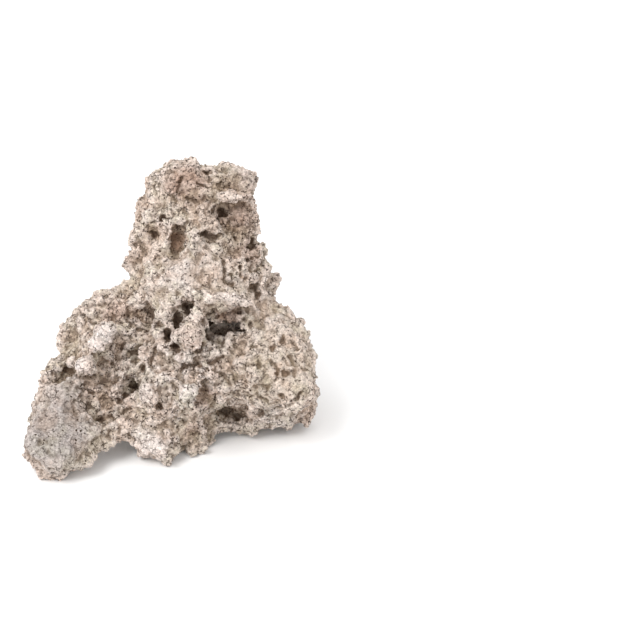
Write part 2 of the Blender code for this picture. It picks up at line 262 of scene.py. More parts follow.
# Thick crust in and by the big cave: (across, up, forward), radii across, up and forward.
THICK_CRUST = (
    ("cave roof left", (21.5, 1.4, 27), (4.4, 3.2, 3.2)),
    ("cave roof middle", (28.0, 2.4, 29), (4.8, 3.2, 3.2)),
    ("cave roof right", (34.5, 2.8, 27), (4.6, 3.0, 3.2)),
    ("cave roof far right", (39.5, 1.2, 25), (2.8, 2.6, 2.6)),
    ("pendant left", (23.6, -0.4, 29), (2.4, 2.0, 1.8)),
    ("pendant middle", (30.0, -0.2, 29), (1.5, 1.8, 1.6)),
    ("pendant right", (36.8, -2.0, 26), (2.2, 2.2, 1.8)),
    ("cave back left", (24, -3.0, 8), (5.0, 4.5, 5.0)),
    ("cave back right", (33, -3.0, 8), (6.0, 4.5, 5.0)),
    ("cave lip left", (23.5, -9.6, 21), (4.2, 2.6, 2.8)),
    ("cave lip middle", (30.0, -9.4, 22), (4.6, 2.8, 2.8)),
    ("cave lip right", (36.5, -8.8, 23), (3.8, 2.8, 2.8)),
    ("ledge by the main crack", (-2.5, 2.2, 25), (5.5, 3.6, 6.5)),
    ("ledge's right end", (-0.2, -2.2, 24), (3.2, 3.0, 5.5)),
    ("under the ledge", (-6.0, -7.0, 25), (4.0, 4.0, 4.0)),
)

# Cracks in the show side: points (across, up) that each one runs through, radius, depth.
CRACKS = (
    ("main crack top", ((11, 8), (8.5, 3), (5.5, -2)), 2.6, 10.0),
    ("main crack foot", ((5.5, -2), (2, -5.5), (-0.5, -8), (0.5, -12), (4, -17)), 1.8, 8.0),
    ("by the lump", ((-14, -24), (-15, -30), (-20, -36), (-27, -41)), 1.5, 3.5),
    ("crown", ((5, 71), (4, 63)), 1.2, 2.4),
    ("crown right", ((14, 69), (22, 66)), 1.2, 2.4),
    ("crown middle", ((8, 61), (14, 59), (19, 61)), 1.1, 2.2),
    ("right of slot", ((16, 43), (22, 41), (27, 43)), 1.3, 3.0),
    ("neck right", ((27, 30), (28, 24), (27, 20), (33, 17)), 1.2, 2.6),
    ("neck far right", ((35, 27), (36, 22), (39, 20)), 1.1, 2.4),
    ("right edge", ((42, 17), (45, 10)), 1.5, 3.0),
    ("ledge", ((38, 30), (48, 34)), 1.1, 2.8),
    ("under the centre knob", ((4, -17), (9, -20)), 1.3, 2.8),
    ("knob right", ((17, 2), (19, -8), (14, -16)), 1.2, 2.4),
    ("belly top", ((6, -24), (13, -22), (20, -26)), 1.2, 2.6),
    ("belly middle", ((12, -14), (16, -19), (22, -21), (28, -18)), 1.2, 2.4),
    ("belly left", ((-8, -14), (-10, -22), (-6, -26)), 1.2, 2.6),
    ("dish", ((23, -26), (29, -29), (31, -36)), 1.1, 2.2),
    ("heel", ((-34, -49), (-25, -47), (-20, -44)), 1.2, 2.4),
    ("lobe middle", ((50, -20), (54, -25), (52, -31)), 1.1, 2.4),
    ("lobe right", ((60, -18), (63, -23), (61, -29)), 1.1, 2.2),
    ("lobe low", ((42, -32), (44, -39), (50, -42)), 1.1, 2.2),
    ("lobe foot", ((55, -44), (61, -42), (66, -36)), 1.1, 2.0),
    ("leg", ((-52, -25), (-44, -29), (-36, -28)), 1.2, 2.0),
    ("shin", ((-46, -34), (-38, -37), (-32, -36)), 1.0, 1.6),
    ("shoulder", ((-44, 3), (-38, -2), (-30, -1)), 1.1, 2.0),
    ("shoulder right", ((-22, 2), (-17, -4), (-10, -5)), 1.1, 2.2),
)

# Stains and patches of painted shade on the show side: (across, up), radius, colour, strength.
STAINS = (
    ("ash on the foot", (-58, -56), 30, "ash", 0.9),
    ("ash on the leg", (-52, -36), 16, "ash", 0.5),
    ("chalk on the knob", (-34, -8), 13, "chalk", 0.55),
    ("chalk on the low knob", (-43, -23), 8, "chalk", 0.6),
    ("chalk on the middle foot", (-11, -63), 15, "chalk", 0.5),
    ("chalk on the neck", (8, 20), 20, "chalk", 0.1),
    ("chalk on the brow", (34, 11), 10, "chalk", 0.2),
    ("shade under the cave's roof", (29, 2), 12, "hollow", 0.7),
    ("rust on the centre knob", (11, -6), 10, "rust", 0.35),
    ("grey neck", (6, 24), 17, "ash", 0.25),
    ("rust on the tower's left", (-8, 44), 13, "rust", 0.35),
    ("chalk on the crown", (34, 72), 10, "chalk", 0.3),
    ("chalk on the bright knob", (9, -38), 9, "chalk", 0.4),
    ("pale belly", (2, -30), 28, "chalk", 0.3),
    ("pale lobe", (56, -46), 18, "chalk", 0.4),
    # Painted shade on the tower's right side, in the rust colour.
    ("painted shade on the tower's right", (34, 66), 14, "rust", 0.4),
    ("rust below the tower's hollow", (36, 36), 14, "rust", 0.4),
    ("rust on the crown", (8, 68), 17, "rust", 0.65),
    ("rust on the crown's right", (26, 66), 12, "rust", 0.3),
    ("rust in the tower hollow", (32, 50), 13, "rust", 0.6),
    ("rust in the slot", (4, 40), 7, "rust", 0.8),
    ("rust on the shoulder", (-29, 4), 10, "rust", 0.5),
    ("rust in the belly dish", (17, -38), 10, "rust", 0.6),
    ("rust on the middle foot", (10, -57), 9, "rust", 0.5),
    ("sand on the lobe", (54, -26), 30, "sand", 0.7),
    ("sand on the tower", (18, 50), 18, "sand", 0.4),
)


def seen_frame(across, up, forward):
    """The place and lean of a point of the picture, in metres."""
    nearer = 1 - forward / EYE_DISTANCE
    lean = Matrix.Rotation(math.pi / 2 - LOOK_DOWN, 4, "X")
    place = Vector((EYE_ACROSS + (across - EYE_ACROSS) * nearer, up * nearer, forward))
    seen = Matrix.Translation(PICTURE_ZERO) @ lean @ Matrix.Translation(place)
    seen.translation *= MM
    return seen


def seen_point(place):
    """The point at (across, up, forward), in metres."""
    return seen_frame(*place).translation


def touch(skin, across, up):
    """Where the line of sight through (across, up) meets the skin, and the skin's normal there."""
    eye = seen_point((EYE_ACROSS, 0, SIGHT_START))
    sight = (seen_point((across, up, 0)) - eye).normalized()
    place, normal, _, _ = skin.ray_cast(eye, sight)
    if place is None:
        raise ValueError(f"no skin is seen at {across}, {up}")
    return place, normal


def linear(hex_colour):
    """The linear values of an sRGB colour."""
    parts = [int(hex_colour[start:start + 2], 16) / 255 for start in (1, 3, 5)]
    return [part / 12.92 if part <= 0.04045 else ((part + 0.055) / 1.055) ** 2.4 for part in parts]


def add_node(tree, kind, settings=None, values=None, links=None):
    """Adds a node with its settings, its sockets' values and the sockets that feed it."""
    node = tree.nodes.new(kind)
    for name, value in (settings or {}).items():
        setattr(node, name, value)
    for socket, value in (values or {}).items():
        node.inputs[socket].default_value = value
    for socket, source in (links or {}).items():
        tree.links.new(source, node.inputs[socket])
    return node


def apply_modifiers(obj):
    """Gives the object its evaluated mesh in place of its modifiers."""
    graph = bpy.context.evaluated_depsgraph_get()
    done = bpy.data.meshes.new_from_object(obj.evaluated_get(graph))
    obj.modifiers.clear()
    obj.data = done


def fuse(obj, net):
    """Makes one skin of everything in the object, as a net of this width."""
    remesh = obj.modifiers.new("Fuse", "REMESH")
    remesh.mode = "VOXEL"
    remesh.voxel_size = net
    apply_modifiers(obj)


def ease(obj, steps):
    """Smooths the object's skin."""
    smooth = obj.modifiers.new("Ease", "SMOOTH")
    smooth.iterations = steps
    apply_modifiers(obj)


def thin_out(obj, triangles):
    """Brings the object's skin down to this number of triangles."""
    thin = obj.modifiers.new("Thin", "DECIMATE")
    thin.ratio = min(1.0, triangles / (2 * len(obj.data.polygons)))
    apply_modifiers(obj)


def fade(distance, radius):
    """1 at the middle, 0 from the radius on, with a soft slope between."""
    left = max(0.0, 1.0 - distance / radius)
    return left * left * (3.0 - 2.0 * left)


def domes(point):
    """From 0 in the creases to about 1 on the tallest dome, where domes are 1 wide and a few are dips."""
    distances, centres = noise.voronoi(point)
    crease = min(1.0, (distances[1] - distances[0]) * DOME_STEEPNESS)
    height = DOME_HEIGHT + DOME_SPREAD * noise.cell(centres[0] * DOME_DRAW)
    return height * crease * max(0.0, 1.0 - distances[0] ** 2)


def wear_at(point, worn):
    """How much of the crust is rubbed off at this point."""
    rubbed = 0.0
    for middle, radius, share in worn:
        rubbed = max(rubbed, share * min(1.0, WORN_FLAT * fade((point - middle).length, radius)))
    return rubbed


def solid_copy(name):
    """A merged copy of the stone's solid, as a new object."""
    mesh = bmesh.new()
    mesh.from_mesh(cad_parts["lava_rock"].data)
    bmesh.ops.remove_doubles(mesh, verts=mesh.verts, dist=0.01 * MM)
    data = bpy.data.meshes.new(name)
    mesh.to_mesh(data)
    mesh.free()
    copy = bpy.data.objects.new(name, data)
    bpy.context.scene.collection.objects.link(copy)
    return copy


def dig_at(skin, across, up, radius, depth):
    """One dig: its place, the way out (halfway between the skin's and the eye's), radius and depth."""
    place, normal = touch(skin, across, up)
    to_eye = (seen_point((EYE_ACROSS, 0, SIGHT_START)) - place).normalized()
    return place, (normal + to_eye).normalized(), radius * MM, depth * MM


def dig_list(skin):
    """The digs of each hole, with a smaller one beside it, and of each point along each crack."""
    digs = []
    for number, (_, (across, up), radius, depth) in enumerate(HOLES):
        digs.append(dig_at(skin, across, up, radius, depth))
        turn = GOLDEN_TURN * number
        across += BESIDE * radius * math.cos(turn)
        up += BESIDE * radius * math.sin(turn)
        digs.append(dig_at(skin, across, up, BESIDE_RADIUS * radius, BESIDE_DEPTH * depth))
    for _, points, radius, depth in CRACKS:
        for start, end in zip(points, points[1:]):
            length = math.dist(start, end)
            steps = max(1, round(length / radius))
            for step in range(steps):
                share = step / steps
                across = start[0] + (end[0] - start[0]) * share
                up = start[1] + (end[1] - start[1]) * share
                digs.append(dig_at(skin, across, up, radius, depth))
    return digs


def add_knobs(obj, skin):
    """Adds the small knobs, where the line of sight meets the skin, and the thick crust to the mesh."""
    mesh = bmesh.new()
    mesh.from_mesh(obj.data)
    for _, (across, up), (wide, tall), out in KNOBS:
        place, normal = touch(skin, across, up)
        turned = seen_frame(across, up, 0)
        turned.translation = place + normal * (out - KNOB_SUNK * min(wide, tall)) * MM
        stretch = Matrix.Diagonal((wide * MM, tall * MM, min(wide, tall) * MM, 1))
        bmesh.ops.create_icosphere(mesh, subdivisions=3, radius=1, matrix=turned @ stretch)
    for _, place, radii in THICK_CRUST:
        stretch = Matrix.Diagonal([radius * MM for radius in radii] + [1])
        bmesh.ops.create_icosphere(mesh, subdivisions=3, radius=1, matrix=seen_frame(*place) @ stretch)
    mesh.to_mesh(obj.data)
    mesh.free()


def crust_at(point, wear, shape):
    """How far the crust stands out at this point, and how crumbly the patch round it is."""
    bent = point + BEND * noise.noise_vector(point / BEND_WIDTH)
    rise = shape.lump_rise * (domes(bent / shape.lump_width) - DOME_SUNK) * (1 - LUMPS_RUBBED * wear)
    rise += shape.knob_rise * (domes(bent / shape.knob_width) - DOME_SUNK) * (1 - KNOBS_RUBBED * wear)
    ridge = abs(noise.noise(bent / shape.crevice_spacing))
    crevice = max(0.0, 1.0 - ridge / CREVICE_WIDTH) * (1 - wear)
    patch = min(1.0, max(0.0, PATCH_MEAN + PATCH_CONTRAST * noise.noise(point / PATCH_WIDTH)))
    rise -= shape.crevice_depth * crevice * patch
    distances, centres = noise.voronoi(bent / shape.pit_spacing)
    pit = max(0.0, 1.0 - distances[0] / PIT_RADIUS)
    rise -= shape.pit_depth * pit * max(0.0, noise.cell(centres[0] * PIT_DRAW))
    return rise, patch


def dug_at(point, digs):
    """How far inside a dig this point is, from 0 to 1, and the move that digs it in."""
    dug = 0.0
    move = Vector()
    ragged = 1.0
    for amount, width in RAGGED:
        ragged += amount * noise.noise(point / width)
    ragged = max(LEAST_RAGGED, ragged)
    for place, out, radius, depth in digs:
        away = point - place
        if abs(away.x) > DIG_LIMIT * radius or abs(away.z) > DIG_LIMIT * radius:
            continue
        share = fade(away.length * ragged, DIG_REACH * radius)
        if share > dug:
            dug = share
            move = -out * depth * min(1.0, DIG_STEEPNESS * share)
    return dug, move


def grow_skin(shape):
    """The stone's skin with its lumps, crevices and pits, before any crumbs."""
    noise.seed_set(PATTERN_SEED)
    skin = solid_copy("stone_skin")
    fuse(skin, shape.net)
    ease(skin, steps=2)
    add_knobs(skin, skin_tree(skin))
    fuse(skin, shape.net)
    ease(skin, steps=1)
    mesh = bmesh.new()
    mesh.from_mesh(skin.data)
    mesh.normal_update()
    digs = dig_list(BVHTree.FromBMesh(mesh))
    worn = worn_places(skin_tree(skin))
    crumbly = []
    for vert in mesh.verts:
        point = vert.co.copy()
        wear = wear_at(point, worn)
        rise, patch = crust_at(point, wear, shape)
        dug, move = dug_at(point, digs)
        vert.co += vert.normal * (rise - shape.inset) + move
        kept = (1 - CLUMPS_RUBBED * wear) * (1 - min(1.0, DUG_BARE * dug))
        crumbly.append(kept * (LEAST_CRUMBLY + (1 - LEAST_CRUMBLY) * patch))
    mesh.to_mesh(skin.data)
    mesh.free()
    store(skin, "crumbly", crumbly)
    return skin


def skin_tree(obj):
    """The object's surface, for casting lines of sight at it."""
    return BVHTree.FromPolygons([vert.co for vert in obj.data.vertices],
                                [face.vertices for face in obj.data.polygons])


def worn_places(tree):
    """The worn places on the skin, in metres: middle, radius and the share rubbed off."""
    return [(touch(tree, *seen)[0], radius * MM, share) for _, seen, radius, share in WORN]


def store(obj, name, values):
    """Keeps one number for each of the object's points."""
    kept = obj.data.attributes.get(name) or obj.data.attributes.new(name, "FLOAT", "POINT")
    kept.data.foreach_set("value", np.array(values, dtype=np.float32))


def scatter(obj, name, grain, seed, keep_skin=False, side=0):
    """Grows crumbs on the object's skin, thick where it is crumbly, and keeps the skin or not.

    A grain is its spacing, its smallest and largest radius, how deep its middle sits, and its rings.
    The side is 1 for the right of the middle, -1 for the left and 0 for both.
    """
    spacing, small, large, sink, rings = grain
    tree = bpy.data.node_groups.new(name, "GeometryNodeTree")
    tree.interface.new_socket("Geometry", in_out="INPUT", socket_type="NodeSocketGeometry")
    tree.interface.new_socket("Geometry", in_out="OUTPUT", socket_type="NodeSocketGeometry")
    skin = add_node(tree, "NodeGroupInput").outputs[0]
    place = add_node(tree, "GeometryNodeInputPosition").outputs[0]
    density = add_node(tree, "GeometryNodeInputNamedAttribute", {"data_type": "FLOAT"},
                       {"Name": "crumbly"}).outputs["Attribute"]
    spots = add_node(tree, "GeometryNodeDistributePointsOnFaces", {"distribute_method": "POISSON"},
                     {"Distance Min": spacing, "Density Max": CRUMBS_TRIED / spacing ** 2, "Seed": seed},
                     {"Mesh": skin, "Density Factor": density})
    if side:
        across = add_node(tree, "ShaderNodeSeparateXYZ", links={0: place}).outputs["X"]
        on_side = add_node(tree, "ShaderNodeMath", {"operation": "MULTIPLY"}, {1: side},
                           {0: across}).outputs[0]
        tree.links.new(on_side, spots.inputs["Selection"])
    sunk = add_node(tree, "ShaderNodeVectorMath", {"operation": "SCALE"}, {"Scale": -sink},
                    {0: spots.outputs["Normal"]}).outputs[0]
    seats = add_node(tree, "GeometryNodeSetPosition",
                     links={"Geometry": spots.outputs["Points"], "Offset": sunk}).outputs[0]
    tone = add_node(tree, "FunctionNodeRandomValue", {"data_type": "FLOAT"}, {"Seed": seed + 3}).outputs[1]
    for kept, kind, source in (("seat", "FLOAT_VECTOR", place), ("tone", "FLOAT", tone),
                               ("out", "FLOAT_VECTOR", spots.outputs["Normal"])):
        seats = add_node(tree, "GeometryNodeStoreNamedAttribute", {"data_type": kind}, {"Name": kept},
                         {"Geometry": seats, "Value": source}).outputs[0]
    crumb = add_node(tree, "GeometryNodeMeshUVSphere", None,
                     {"Segments": rings + 2, "Rings": rings, "Radius": 1.0}).outputs["Mesh"]
    turn = add_node(tree, "FunctionNodeRandomValue", {"data_type": "FLOAT_VECTOR"},
                    {"Min": (0, 0, 0), "Max": (math.tau,) * 3, "Seed": seed + 1}).outputs["Value"]
    size = add_node(tree, "FunctionNodeRandomValue", {"data_type": "FLOAT_VECTOR"},
                    {"Min": (small,) * 3, "Max": (large,) * 3, "Seed": seed + 2}).outputs["Value"]
    crumbs = add_node(tree, "GeometryNodeInstanceOnPoints",
                      links={"Points": seats, "Instance": crumb, "Rotation": turn, "Scale": size}).outputs[0]
    real = add_node(tree, "GeometryNodeRealizeInstances", links={0: crumbs}).outputs[0]
    dent = add_node(tree, "ShaderNodeTexNoise", None,
                    {"Scale": DENTS / large, "Detail": 2.0}).outputs["Color"]
    centred = add_node(tree, "ShaderNodeVectorMath", {"operation": "SUBTRACT"}, {1: (0.5, 0.5, 0.5)},
                       {0: dent}).outputs[0]
    offset = add_node(tree, "ShaderNodeVectorMath", {"operation": "SCALE"}, {"Scale": DENT_DEPTH * small},
                      {0: centred}).outputs[0]
    made = add_node(tree, "GeometryNodeSetPosition",
                    links={"Geometry": real, "Offset": offset}).outputs[0]
    if keep_skin:
        join = add_node(tree, "GeometryNodeJoinGeometry", links={0: made})
        tree.links.new(skin, join.inputs[0])
        made = join.outputs[0]
    add_node(tree, "NodeGroupOutput", links={0: made})
    growth = obj.modifiers.new(name, "NODES")
    growth.node_group = tree
    apply_modifiers(obj)


def openness(obj, skin):
    """For each point of the object, the share of directions in which nothing of the skin is near."""
    ways = []
    for step in range(HOLLOW_WAYS):
        height = 1 - (2 * step + 1) / HOLLOW_WAYS
        wide = math.sqrt(1 - height * height)
        turn = GOLDEN_TURN * step
        ways.append(Vector((wide * math.cos(turn), wide * math.sin(turn), height)))
    open_shares = []
    for vert in obj.data.vertices:
        normal = vert.normal
        start = vert.co + normal * CLEARANCE
        free = total = 0.0
        for way in ways:
            facing = way.dot(normal)
            if facing < GRAZING:
                continue
            total += facing
            if skin.ray_cast(start, way, HOLLOW_REACH)[0] is None:
                free += facing
        open_shares.append(free / total if total else 1.0)
    return np.array(open_shares)


def spread(obj, values, steps):
    """Averages each point's number with its neighbours'."""
    edges = np.empty(2 * len(obj.data.edges), dtype=np.int64)
    obj.data.edges.foreach_get("vertices", edges)
    start, end = edges[0::2], edges[1::2]
    count = np.bincount(edges, minlength=len(values))
    for _ in range(steps):
        total = np.bincount(start, values[end], len(values))
        total = total + np.bincount(end, values[start], len(values))
        values = 0.5 * values + 0.5 * total / np.maximum(count, 1)
    return values


def read(obj, name):
    """The vector that each of the object's points keeps under this name."""
    points = obj.data.attributes[name].data
    values = np.empty(len(points) * 3, dtype=np.float32)
    points.foreach_get("vector", values)
    return values.reshape(-1, 3)


def smoothstep(values, low, high):
    """0 up to the low value, 1 from the high one on, and a soft slope between."""
    share = np.clip((values - low) / (high - low), 0, 1)
    return share * share * (3 - 2 * share)


def relief(obj, steps):
    """How far each point stands out from the skin round it, smoothed by so many steps, in metres."""
    places = read(obj, "position")
    calm = np.column_stack([spread(obj, places[:, axis], steps) for axis in range(3)])
    normals = np.empty(len(places) * 3, dtype=np.float32)
    obj.data.vertices.foreach_get("normal", normals)
    return ((places - calm) * normals.reshape(-1, 3)).sum(1)


def mark_skin(obj, tree):
    """Keeps on the skin how worn, hollow, creased and crumbly each of its points is."""
    worn = worn_places(tree)
    wear = np.array([wear_at(vert.co, worn) for vert in obj.data.vertices])
    hollow = 1 - spread(obj, openness(obj, tree), HOLLOW_STEPS)
    stands = relief(obj, CREASE_STEPS)
    crease = 1 - smoothstep(stands, -CREASE_DEPTH, 0.0)
    crumbly = (1 - CRUMBS_RUBBED * wear) * (1 - smoothstep(hollow, *BARE_HOLLOW))
    crumbly *= smoothstep(stands, *BARE_CREASE)
    crumbly *= smoothstep(read(obj, "position")[:, 2], *BARE_FOOT)
    store(obj, "wear", wear)
    store(obj, "hollow", hollow)
    # The crease number is the painted shade in the creases, less where the stone is worn.
    store(obj, "crease", np.clip(CREASE_PAINTED_SHADE * crease * (1 - CREASE_RUBBED * wear), 0, 1))
    store(obj, "crumbly", crumbly)
    store(obj, "tone", np.full(len(wear), MIDDLE_TONE))


def tint_skin(obj, tree, colours):
    """Keeps on the skin the tint of each of its points: the stone's, stained, with painted shade in places,
    dirt and painted shade in the dips, and a painted highlight on the tops.
    """
    points = obj.data.vertices
    places = read(obj, "position")
    bend = np.array([noise.noise_vector(vert.co / STAIN_BEND_WIDTH) for vert in points]) * STAIN_BEND
    tints = np.array([linear(colours["stone"])] * len(points))
    for _, seen, radius, colour, strength in STAINS:
        middle = np.array(touch(tree, *seen)[0])
        away = np.linalg.norm(places + bend - middle, axis=1) / (radius * MM)
        share = (strength * np.clip(STAIN_FLAT * smoothstep(1 - away, 0, 1), 0, 1))[:, None]
        tints = tints * (1 - share) + np.array(linear(colours[colour])) * share
    # Dirt and painted shade in the dips, and a painted highlight on the tops.
    raised = smoothstep(relief(obj, LUMP_STEPS), *LUMP_DEPTHS)[:, None]
    tints *= np.array(DIP_DIRT_AND_SHADE) * (1 - raised) + np.array(TOP_PAINTED_HIGHLIGHT) * raised
    opaque = np.hstack([tints, np.ones((len(points), 1))]).astype(np.float32)
    kept = obj.data.attributes.new("tint", "FLOAT_COLOR", "POINT")
    kept.data.foreach_set("color", opaque.ravel())


def grow_crumbs(name, grain, seed, side):
    """One mesh of loose crumbs on the skin, on one side of the stone, each with painted shade towards its
    foot.
    """
    skin = bpy.data.objects["stone_skin"]
    crumbs = bpy.data.objects.new(name, skin.data.copy())
    bpy.context.scene.collection.objects.link(crumbs)
    scatter(crumbs, name, grain, seed, side=side)
    from_seat = read(crumbs, "position") - read(crumbs, "seat")
    lift = (from_seat * read(crumbs, "out")).sum(1)
    small, large = grain[1:3]
    foot = 1 - smoothstep(lift / (0.5 * (small + large)), *CRUMB_FOOT)
    # Painted shade at each crumb's foot, where it meets the skin.
    store(crumbs, "crease", FOOT_PAINTED_SHADE * foot)
    for spare in ("seat", "out", "crumbly"):
        crumbs.data.attributes.remove(crumbs.data.attributes[spare])
    crumbs.data.materials.clear()
    crumbs.data.materials.append(skin.data.materials[0])
    crumbs.data.shade_flat()
    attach(crumbs, "root")


def crusty_stone(colours):
    """Dry volcanic stone, foamed and crumbly: quite matt, with grains, stains, tiny gas holes, painted shade
    in its crevices, pinholes and creases, and dirt and painted shade in its hollows.
    """
    stone = bpy.data.materials.new("crusty_stone")
    stone.use_nodes = True
    tree = stone.node_tree
    tree.nodes.clear()
    place = add_node(tree, "ShaderNodeTexCoord").outputs["Object"]
    tint = add_node(tree, "ShaderNodeAttribute", {"attribute_name": "tint"}).outputs["Color"]
    wear = add_node(tree, "ShaderNodeAttribute", {"attribute_name": "wear"}).outputs["Fac"]
    hollow = add_node(tree, "ShaderNodeAttribute", {"attribute_name": "hollow"}).outputs["Fac"]
    crease = add_node(tree, "ShaderNodeAttribute", {"attribute_name": "crease"}).outputs["Fac"]
    tone = add_node(tree, "ShaderNodeAttribute", {"attribute_name": "tone"}).outputs["Fac"]

    # Patches of slightly different stone.
    patches = add_node(tree, "ShaderNodeTexNoise", None,
                       {"Scale": 1 / STONE_PATCH_WIDTH, "Detail": 3.0, "Roughness": 0.6},
                       {"Vector": place}).outputs["Fac"]
    ramp = add_node(tree, "ShaderNodeValToRGB", links={"Fac": patches})
    ramp.color_ramp.elements.new(0.5)
    for stop, (position, colour) in zip(ramp.color_ramp.elements, PATCH_TINTS):
        stop.position = position
        stop.color = (*linear(colour), 1)
    patched = add_node(tree, "ShaderNodeMix", {"data_type": "RGBA", "blend_type": "MULTIPLY"},
                       {"Factor": 1.0}, {MIX_A: tint, MIX_B: ramp.outputs["Color"]}).outputs[MIX_RESULT]

    # Pinholes: gas bubbles up to 1.1 mm wide, each of its own size and a little out of round, with painted
    # shade inside.
    wobble = add_node(tree, "ShaderNodeTexNoise", None,
                      {"Scale": 1 / WOBBLE_WIDTH, "Detail": 2.0}, {"Vector": place}).outputs["Color"]
    shaken = add_node(tree, "ShaderNodeVectorMath", {"operation": "MULTIPLY_ADD"}, {1: (WOBBLE,) * 3},
                      {0: wobble, 2: place}).outputs[0]
    cells = add_node(tree, "ShaderNodeTexVoronoi", {"feature": "F1"},
                     {"Scale": 1 / PINHOLE_SPACING, "Randomness": 1.0}, {"Vector": shaken})
    chance = add_node(tree, "ShaderNodeSeparateColor", links={0: cells.outputs["Color"]}).outputs[0]
    hole_size = add_node(tree, "ShaderNodeMapRange", None,
                         {"From Min": 0.15, "From Max": 1.0, "To Min": -0.04, "To Max": 0.28},
                         {"Value": chance}).outputs["Result"]
    inside = add_node(tree, "ShaderNodeMath", {"operation": "SUBTRACT"},
                      links={0: cells.outputs["Distance"], 1: hole_size}).outputs[0]
    pinhole_shade = add_node(tree, "ShaderNodeMapRange", {"interpolation_type": "SMOOTHSTEP"},
                   {"From Min": -0.04, "From Max": 0.03, "To Min": 0.97, "To Max": 0.0},
                   {"Value": inside}).outputs["Result"]

    # Grains, each of its own tone, in lighter and darker clots, on crumbs of their own tones. The
    # pinholes have painted highlights on their rims. Each row says between which two values of what the
    # shade changes.
    grains = add_node(tree, "ShaderNodeTexVoronoi", {"feature": "F1"},
                      {"Scale": 1 / GRAIN_WIDTH, "Randomness": 1.0}, {"Vector": place}).outputs["Color"]
    grain = add_node(tree, "ShaderNodeSeparateColor", links={"Color": grains}).outputs["Red"]
    clots = add_node(tree, "ShaderNodeTexNoise", None,
                     {"Scale": 1 / CLOT_WIDTH, "Detail": 3.0, "Roughness": 0.7},
                     {"Vector": place}).outputs["Fac"]
    lit = patched
    for source, low, high, shade_low, shade_high in (
            (grain, 0.0, 1.0, 0.68, 1.20), (clots, 0.35, 0.65, 0.84, 1.12),
            (tone, 0.0, 1.0, 0.88, 1.10), (inside, 0.02, 0.14, 1.12, 1.0)):
        shade = add_node(tree, "ShaderNodeMapRange", None,
                         {"From Min": low, "From Max": high, "To Min": shade_low, "To Max": shade_high},
                         {"Value": source}).outputs["Result"]
        lit = add_node(tree, "ShaderNodeVectorMath", {"operation": "SCALE"},
                       links={0: lit, "Scale": shade}).outputs[0]

    # Painted shade in fine crevices, broken off here and there, and fainter where the stone is worn.
    edges = add_node(tree, "ShaderNodeTexVoronoi", {"feature": "DISTANCE_TO_EDGE"},
                     {"Scale": 1 / CREVICE_SPACING, "Randomness": 1.0},
                     {"Vector": shaken}).outputs["Distance"]
    # How much painted shade each point of a fine crevice gets.
    crack = add_node(tree, "ShaderNodeMapRange", {"interpolation_type": "SMOOTHSTEP"},
                     {"From Min": 0.01, "From Max": 0.10, "To Min": 1.0, "To Max": 0.0},
                     {"Value": edges}).outputs["Result"]
    fresh = add_node(tree, "ShaderNodeMapRange", None,
                     {"From Min": 0.0, "From Max": 1.0, "To Min": 0.95, "To Max": 0.55},
                     {"Value": wear}).outputs["Result"]
    breaks = add_node(tree, "ShaderNodeTexNoise", None, {"Scale": 1 / BREAK_WIDTH, "Detail": 2.0},
                      {"Vector": place}).outputs["Fac"]
    where = add_node(tree, "ShaderNodeMapRange", None,
                     {"From Min": 0.50, "From Max": 0.57, "To Min": 0.0, "To Max": 1.0},
                     {"Value": breaks}).outputs["Result"]
    for share in (fresh, where):
        crack = add_node(tree, "ShaderNodeMath", {"operation": "MULTIPLY"},
                         links={0: crack, 1: share}).outputs[0]

    # Crevices, pinholes and creases get painted shade in the dark hole colour, and hollows a brown that is
    # partly dirt and partly painted shade.
    gap_shade = add_node(tree, "ShaderNodeMath", {"operation": "MAXIMUM"}, links={0: crack, 1: pinhole_shade}).outputs[0]
    # Painted shade in the creases.
    creased = add_node(tree, "ShaderNodeMath", {"operation": "MULTIPLY"}, {1: 0.6}, {0: crease}).outputs[0]
    gap_shade = add_node(tree, "ShaderNodeMath", {"operation": "MAXIMUM"}, links={0: gap_shade, 1: creased}).outputs[0]
    gap_shaded = add_node(tree, "ShaderNodeMix", {"data_type": "RGBA"}, {MIX_B: (*linear(colours["hole"]), 1)},
                      {"Factor": gap_shade, MIX_A: lit}).outputs[MIX_RESULT]
    # The brown in the hollows is partly dirt and partly painted shade, growing with how closed in each point
    # is.
    depth = add_node(tree, "ShaderNodeMapRange", {"interpolation_type": "SMOOTHSTEP"},
                     {"From Min": 0.45, "From Max": 0.9, "To Min": 0.0, "To Max": 0.6},
                     {"Value": hollow}).outputs["Result"]
    base = add_node(tree, "ShaderNodeMix", {"data_type": "RGBA"}, {MIX_B: (*linear(colours["hollow"]), 1)},
                    {"Factor": depth, MIX_A: gap_shaded}).outputs[MIX_RESULT]

    # The grains stand out and the gaps are sunk.
    height = add_node(tree, "ShaderNodeMath", {"operation": "MULTIPLY_ADD"}, {1: -GAP_SUNK},
                      {0: gap_shade, 2: grain}).outputs[0]
    bump = add_node(tree, "ShaderNodeBump", None, {"Strength": 0.9, "Distance": BUMP},
                    {"Height": height}).outputs["Normal"]
    shader = add_node(tree, "ShaderNodeBsdfPrincipled", None,
                      {"Roughness": 0.95, "IOR": 1.45, "Specular IOR Level": 0.2},
                      {"Base Color": base, "Normal": bump})
    add_node(tree, "ShaderNodeOutputMaterial", links={"Surface": shader.outputs["BSDF"]})
    return stone


def plain_paint(name, colour):
    """Smooth matt paint, all one colour."""
    paint = bpy.data.materials.new(name)
    paint.use_nodes = True
    shader = paint.node_tree.nodes["Principled BSDF"]
    shader.inputs["Base Color"].default_value = (*colour, 1)
    shader.inputs["Roughness"].default_value = 0.9
    return paint


